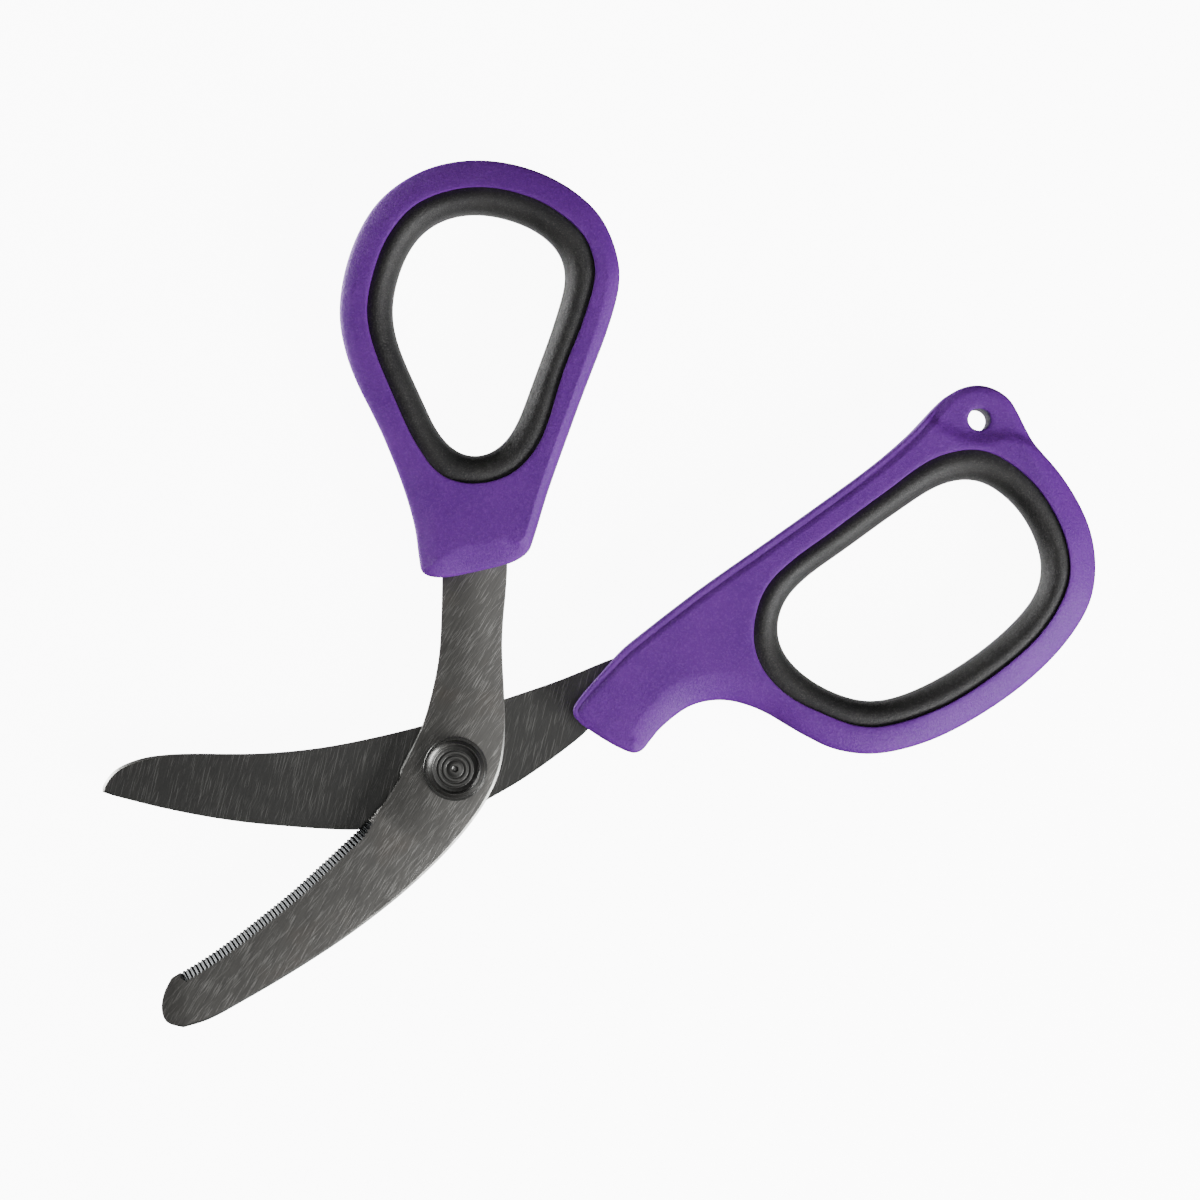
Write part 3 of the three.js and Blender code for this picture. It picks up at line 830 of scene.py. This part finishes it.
def blade(node, face_up, bevel, land, spine_chamfer, fluted, fades, materials, tip_chamfer=0.0):
    """A flat blade, ground from its outer face down to a thin land at the edge of its inner face.

    The bevel fades in and out over two lengths at the edge's ends. A tip chamfer is ground on the
    inner face, round the tip. The materials are those of FACE, FACET and EDGE.
    """
    low, high = (corner.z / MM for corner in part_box(node))
    inner, outer = (low, high) if face_up else (high, low)
    towards = 1 if face_up else -1
    step = TOOTH_PITCH / FLUTE_CUTS if fluted else BLADE_STEP
    cuts = inner + EDGE_CUT * towards, outer - FACE_CUT * towards
    outline, along, left = blade_outline(node, *cuts, step)
    fade_in, fade_out = fades
    edge = blended(along, 0, fade_in) * blended(left, 0, fade_out)
    teeth = blended(along, 0, FLUTE_FADE_SHARE * fade_in) * blended(left, *FLUTE_TIP_FADE)
    teeth = teeth * FLUTE_DEPTH * fluted

    spine = spine_share(outline, left)
    chamfer = CHAMFER + (spine_chamfer - CHAMFER) * spine
    chamfer[along > along[-1] - CHOIL_LENGTH] = CHOIL_CHAMFER
    sink = CHAMFER_SLOPE * chamfer
    start = outer - towards * (sink + (abs(outer - inner) - land - sink) * edge)
    reach = chamfer + (bevel - chamfer) * edge
    brink = EDGE_BREAK * (1 - KEENNESS * edge)
    if tip_chamfer:
        from_tip = outline[:, 0] - outline[:, 0].min()
        brink = brink + (left < 0) * (tip_chamfer - EDGE_BREAK) * (1 - blended(from_tip, *TIP_FADE))

    def at(up, further=0.0):
        return inset(outline, reach * up + further + teeth * flute(along, up))

    bm = bmesh.new()
    land_rings = [ring(bm, at(0, brink), inner), ring(bm, at(0), inner + towards * brink)]
    wall(bm, land_rings, FACET if tip_chamfer else FACE)
    ups = np.linspace(0, 1, BEVEL_RINGS + 1)
    climb = [ring(bm, at(up), start + (outer - start) * up) for up in ups]
    mostly_edge = edge > 0.5
    wall(bm, [land_rings[1], climb[0]], np.where(mostly_edge, EDGE, FACE))
    wall(bm, climb, np.where(mostly_edge, EDGE, np.where(spine > BRIGHT_SPINE, FACET, FACE)))
    holes = []
    for found in section(node, (low + high) / 2)[1:]:
        hole = resampled(found, True, BLADE_STEP)
        mouth = inset(hole, -EDGE_BREAK)
        holes.append([ring(bm, mouth, outer), ring(bm, hole, outer - towards * EDGE_BREAK),
                      ring(bm, hole, inner + towards * EDGE_BREAK), ring(bm, mouth, inner)])
        wall(bm, holes[-1])
    fill(bm, [climb[-1]] + [rings[0] for rings in holes])
    fill(bm, [land_rings[0]] + [rings[-1] for rings in holes])
    return shell(node + "_ground", bm, materials, BLADE_CREASE)


# ---------------------------------------------------------------------------------------------------
# Pivot: everything turned about the Z axis
# ---------------------------------------------------------------------------------------------------

def circle(radius, x=0.0, count=ROUND_SEGMENTS, flat=None):
    """Points round a circle on the X axis, cut off by a flat on its +X side if there is one."""
    angle = np.linspace(0, 2 * math.pi, count, endpoint=False)
    across = radius * np.cos(angle)
    if flat is not None:
        across = np.minimum(across, flat)
    return np.column_stack([x + across, radius * np.sin(angle)])


def cone(low_radius, high_radius, low, high):
    """Points of a profile up a cone whose foot and brow are rounded."""
    angles = np.linspace(CONE_MARGIN, math.pi / 2 - CONE_MARGIN, CONE_CUTS + 1)
    return [(high_radius + (low_radius - high_radius) * math.cos(a) ** CONE_POWER,
             low + (high - low) * math.sin(a) ** CONE_POWER) for a in angles]


def shallow_groove(radius, height, depth=0.07, half_width=0.13):
    """A turned groove in a flat face, listed from its outer side to its inner side."""
    return [(radius + half_width * out, height + depth * up) for out, up in GROOVE]


def fan(bm, pole, around):
    """Triangles from a vertex on the axis to a ring."""
    for i in range(len(around)):
        bm.faces.new((pole, around[i], around[(i + 1) % len(around)]))


def turned(name, profile, material, closed=False, keyed_below=-math.inf):
    """A profile of (radius, height) points turned about the pivot's axis."""
    bm = bmesh.new()
    rings = []
    for radius, height in profile:
        if radius == 0:
            rings.append(bm.verts.new((0, 0, height)))
        else:
            flat = KEY_FLAT if height < keyed_below else None
            rings.append(ring(bm, circle(radius, flat=flat), height))
    if closed:
        rings.append(rings[0])
    for a, b in zip(rings, rings[1:]):
        if isinstance(a, bmesh.types.BMVert):
            fan(bm, a, b)
        elif isinstance(b, bmesh.types.BMVert):
            fan(bm, b, a)
        else:
            wall(bm, [a, b])
    return shell(name, bm, [material], TURNED_CREASE)


def pivot_head():
    """The pivot's front half: a domed head with a sunk, grooved disc, on a barrel with a key flat."""
    low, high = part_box("pivot_barrel")
    foot, top, head_radius = low.z / MM, high.z / MM, high.x / MM
    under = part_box("head_washer")[1].z / MM + HEAD_CLEARANCE
    bore_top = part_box("pivot_back_screw")[1].z / MM + STUD_CLEARANCE
    disc = top - DISC_DEPTH
    profile = [(0, bore_top), (BORE_RADIUS, bore_top), (BORE_RADIUS, foot)]
    profile += [(BARREL_RADIUS, z) for z in (foot, PLAIN_HIGH - KEY_STEP, PLAIN_HIGH, under)]
    profile += [(head_radius + out, under + up) for out, up in HEAD_FOOT]
    profile += cone(head_radius, RECESS_RADIUS + BROW_OUTER, profile[-1][1], top)
    recess_wall = RECESS_RADIUS + RECESS_FOOT[0][0]
    profile += reversed(cone(recess_wall, RECESS_RADIUS + BROW_INNER, top - BROW_FALL, top))
    profile += [(RECESS_RADIUS + out, disc + up) for out, up in RECESS_FOOT]
    for radius in DISC_GROOVES:
        profile += shallow_groove(radius, disc)
    profile += [(out, disc + up) for out, up in CENTRE_MARK]
    return turned("pivot_head", profile, BLACKED, keyed_below=PLAIN_HIGH - KEY_STEP / 2)


def washer(node, material, bevel=0.08, grooves=()):
    """A flat ring that takes its size from its frame node, with softly broken edges."""
    low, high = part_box(node)
    bottom, top, outer = low.z / MM, high.z / MM, high.x / MM
    profile = [(WASHER_BORE, bottom + bevel), (WASHER_BORE + bevel, bottom), (outer - bevel, bottom)]
    profile += [(outer, bottom + bevel), (outer, top - bevel), (outer - bevel, top)]
    for radius in grooves:
        profile += shallow_groove(radius, top, depth=0.05, half_width=0.07)
    profile += [(WASHER_BORE + bevel, top), (WASHER_BORE, top - bevel)]
    return turned(node + "_ring", profile, material, closed=True)


def dished_washer(node, material):
    """The spring washer: its inner edge stands higher than its outer edge."""
    low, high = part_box(node)
    bottom, top, outer = low.z / MM, high.z / MM, high.x / MM
    inner = BORE_RADIUS + DISH_CLEARANCE
    lift = top - bottom - DISH_STEEL
    slope = [(inner + (outer - inner) * k / DISH_CUTS, lift * (1 - k / DISH_CUTS) ** DISH_POWER)
             for k in range(DISH_CUTS + 1)]
    under = [(radius, bottom + rise) for radius, rise in slope]
    over = [(radius, bottom + rise + DISH_STEEL) for radius, rise in reversed(slope)]
    return turned(node + "_ring", under + over, material, closed=True)


def back_screw():
    """The pivot's back half: a flat head with two spanner holes and a centre mark, on a threaded stud."""
    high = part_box("pivot_back_screw")[1]
    radius, top = high.x / MM, high.z / MM
    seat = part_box("spring_washer")[0].z / MM - HEAD_CLEARANCE
    profile = [(radius + out, up) for out, up in SCREW_BROW]
    profile += [(radius + out, seat + up) for out, up in SCREW_FOOT]
    profile.append((STUD_RADIUS, seat))
    for k in range(int((top - seat - THREAD_ENDS) / THREAD_PITCH)):
        base = seat + THREAD_START + k * THREAD_PITCH
        profile += [(STUD_RADIUS - THREAD_DEPTH, base), (STUD_RADIUS, base + THREAD_PITCH / 2)]
    profile.append((STUD_RADIUS - THREAD_DEPTH, top))
    bm = bmesh.new()
    rings = [ring(bm, circle(out), z) for out, z in profile]
    wall(bm, rings)
    fill(bm, rings[-1:])
    mouths = []
    for x, hole_radius, depth in SCREW_HOLES:
        mouth = ring(bm, circle(hole_radius + HOLE_BREAK, x, SMALL_HOLE_SEGMENTS), 0)
        bore = [ring(bm, circle(hole_radius, x, SMALL_HOLE_SEGMENTS), z) for z in (HOLE_BREAK, depth)]
        wall(bm, [mouth, *bore])
        fill(bm, bore[-1:])
        mouths.append(mouth)
    fill(bm, rings[:1] + mouths)
    return shell("pivot_back_head", bm, [BLACKED])


# ---------------------------------------------------------------------------------------------------
# Stage: floor, lights, camera
# ---------------------------------------------------------------------------------------------------

def floor():
    """A bright floor that neither lights the shears nor stands in the way of the lamps below it."""
    n = Nodes("white_floor")
    soft = n.noise(0.01, detail=2.0)
    n.set(Base_Color=n.mix(soft, srgb(244, 244, 244), srgb(247, 247, 247)), Roughness=0.9)
    n.set(Emission_Color=(1, 1, 1, 1), Emission_Strength=FLOOR_GLOW)
    bm = bmesh.new()
    bmesh.ops.create_grid(bm, x_segments=4, y_segments=4, size=FLOOR_SIZE / 2)
    mesh = bpy.data.meshes.new("floor")
    bm.to_mesh(mesh)
    bm.free()
    mesh.materials.append(n.material)
    plane = bpy.data.objects.new("floor", mesh)
    plane.location = (CAMERA_AT[0] * MM, CAMERA_AT[1] * MM, -FLOOR_DROP * MM)
    plane.visible_diffuse = plane.visible_glossy = plane.visible_shadow = False
    bpy.context.scene.collection.objects.link(plane)


def softbox(name, place, power, width, height):
    """A rectangular lamp at a place in mm, aimed at the shears."""
    lamp = bpy.data.lights.new(name, "AREA")
    lamp.shape = "RECTANGLE"
    lamp.size, lamp.size_y = width * MM, height * MM
    lamp.energy = power
    box = bpy.data.objects.new(name, lamp)
    box.location = Vector(place) * MM
    target = Vector((*CAMERA_AT, MID_PLANE)) * MM
    box.visible_camera = False
    box.rotation_euler = (target - box.location).to_track_quat("-Z", "Y").to_euler()
    bpy.context.scene.collection.objects.link(box)


def studio():
    world = bpy.data.worlds.new("studio")
    world.use_nodes = True
    sky = world.node_tree.nodes["Background"]
    sky.inputs["Color"].default_value = (1, 1, 1, 1)
    sky.inputs["Strength"].default_value = WORLD_LIGHT
    bpy.context.scene.world = world
    for lamp in LAMPS:
        softbox(*lamp)
    floor()


def camera():
    lens = bpy.data.cameras.new("camera")
    lens.lens = LENS
    lens.clip_start, lens.clip_end = 0.01, 10.0
    eye = bpy.data.objects.new("camera", lens)
    eye.location = Vector((*CAMERA_AT, MID_PLANE + CAMERA_HEIGHT)) * MM
    bpy.context.scene.collection.objects.link(eye)
    bpy.context.scene.camera = eye


# ---------------------------------------------------------------------------------------------------
# The shears
# ---------------------------------------------------------------------------------------------------

# Each handle's rim, round its outline: a place, then the rim's width, drop, roundness and run there.
THUMB_RIM = [
    ((1.6, 110), 5.4, 1.5, 1.2, 1.0),
    ((-13.9, 102.5), 3.8, 1.0, 1.4, 1.0),
    ((-20.9, 82.6), 2.6, 0.9, 1.6, 1.0),
    ((-13.3, 60.7), 3.2, 0.8, 1.4, 1.0),
    ((-9.4, 50.9), 4.6, 1.0, 1.08, 1.0),
    ((-6.6, 39), 3.8, 0.9, 1.08, 1.0),
    ((-5, 35), 3.0, 0.8, 1.15, 1.0),
    ((3.3, 35.6), 5.0, 1.3, 1.1, 1.0),
    ((11, 37.8), 4.6, 1.2, 1.1, 1.0),
    ((14, 41.6), 1.5, 1.1, 1.15, 1.0),
    ((22.5, 66.6), 1.5, 1.1, 1.15, 1.0),
    ((29.5, 88), 2.2, 1.0, 1.3, 1.0),
    ((19.8, 105.6), 4.6, 1.3, 1.2, 1.0),
]
FINGER_RIM = [
    ((21.4, 10.2), 1.8, 0.36, 1.15, 0.5),
    ((27, 5.3), 1.2, 0.5, 1.3, 1.0),
    ((32.4, 2.9), 1.8, 0.8, 1.3, 1.0),
    ((35.4, 5.3), 4.0, 1.5, 1.3, 1.0),
    ((42.7, 11.4), 5.2, 2.2, 1.35, 1.0),
    ((54.7, 10.8), 5.0, 2.0, 1.4, 1.0),
    ((62.5, 6.4), 3.6, 1.4, 1.5, 1.0),
    ((75.5, 2.7), 4.2, 1.6, 1.5, 1.0),
    ((92.5, 8.2), 5.2, 2.5, 1.3, 1.0),
    ((110.9, 23.2), 5.4, 2.9, 1.25, 1.0),
    ((116, 36.5), 5.4, 2.8, 1.2, 1.0),
    ((112.9, 48), 4.8, 2.0, 1.25, 1.0),
    ((103.2, 61.6), 1.8, 0.8, 1.4, 1.0),
    ((94.7, 69.4), 1.5, 0.6, 1.4, 1.0),
    ((82.6, 60.9), 2.2, 0.4, 1.15, 0.5),
    ((66.5, 48.2), 2.3, 0.37, 1.15, 0.42),
    ((44, 32.3), 2.3, 0.37, 1.15, 0.42),
    ((30.2, 21.5), 2.2, 0.36, 1.15, 0.42),
]

# The line across the finger handle where its faces step down to the thin lanyard tab.
TAB_LINE = [
    (80, 75), (84.5, 65), (89.5, 61), (94.5, 59.6), (100.5, 60.2), (105, 58.4), (112, 54), (112, 75),
]

# Levels that cut the handles clear of their tang pockets and liner grooves.
THUMB_LEVEL = 2.0
FINGER_LEVEL = 9.0

# The angles that the blades' grinding lines run along, in degrees from X.
FRONT_GRIND = 60
BACK_GRIND = 77

PLASTIC = moulded_plastic()
RUBBER = soft_rubber()
# Both blades have one coating. It is painted lighter on the front blade and darker on the back one: a
# painted reflection and painted shade for how each blade's face is lit.
LIT_FRONT_STEEL = coated_steel("coated_steel_front_painted_lit", srgb(86, 85, 83), srgb(103, 102, 99), FRONT_GRIND,
                           axis=1, brown=0.22)
SHADED_BACK_STEEL = coated_steel("coated_steel_back_painted_shade", srgb(64, 64, 63), srgb(75, 75, 73), BACK_GRIND,
                          axis=0, worn=0.22)
FACET_STEEL = ground_steel("ground_steel_facet", srgb(94, 94, 92), srgb(128, 128, 125), FRONT_GRIND,
                           worn=0.4)
EDGE_STEEL = ground_steel("ground_steel_edge", srgb(31, 32, 33), srgb(45, 47, 48), FRONT_GRIND,
                          worn=0.03)
BLACKED = turned_metal("blacked_steel", srgb(76, 76, 75), srgb(104, 104, 102), gloss=0.28)
BARE_STEEL = turned_metal("bare_turned_steel", srgb(120, 120, 118), srgb(150, 150, 147))
BRONZE = turned_metal("turned_bronze", srgb(158, 124, 74), srgb(182, 148, 94), gloss=0.34)


def add(piece, body, slot, *nodes):
    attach(piece, body)
    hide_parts(*nodes)


camera()
studio()

thumb = handle("thumb_handle", THUMB_LEVEL, THUMB_RIM, PLASTIC)
finger = handle("finger_handle", FINGER_LEVEL, FINGER_RIM, PLASTIC, TAB_LINE)
add(thumb, "thumb_half", "handle_plastic", "thumb_handle")
add(finger, "finger_half", "handle_plastic", "finger_handle")

for node, handle_node, level, body in (
    ("thumb_loop_liner", "thumb_handle", THUMB_LEVEL, "thumb_half"),
    ("finger_loop_liner", "finger_handle", FINGER_LEVEL, "finger_half"),
):
    add(liner(node, handle_node, level, RUBBER), body, "liner_rubber", node)

serrated = blade("serrated_blade", face_up=True, bevel=1.65, land=0.45, spine_chamfer=0.45, fluted=True,
                 fades=(7.0, 1.0), materials=[LIT_FRONT_STEEL, FACET_STEEL, EDGE_STEEL])
plain = blade("plain_blade", face_up=False, bevel=2.4, land=0.5, spine_chamfer=0.25, fluted=False,
              fades=(8.0, 3.0), materials=[SHADED_BACK_STEEL, FACET_STEEL, FACET_STEEL], tip_chamfer=0.45)
add(serrated, "thumb_half", "blade_steel", "serrated_blade")
add(plain, "finger_half", "blade_steel", "plain_blade")

add(pivot_head(), "finger_half", "pivot_steel", "pivot_barrel")
add(back_screw(), "finger_half", "pivot_steel", "pivot_back_screw")
head_washer = washer("head_washer", BLACKED, grooves=HEAD_WASHER_GROOVES)
add(head_washer, "finger_half", "pivot_steel", "head_washer")
add(washer("blade_washer", BRONZE, bevel=0.04), "finger_half", "washer_bronze", "blade_washer")
add(dished_washer("spring_washer", BARE_STEEL), "finger_half", "pivot_steel", "spring_washer")
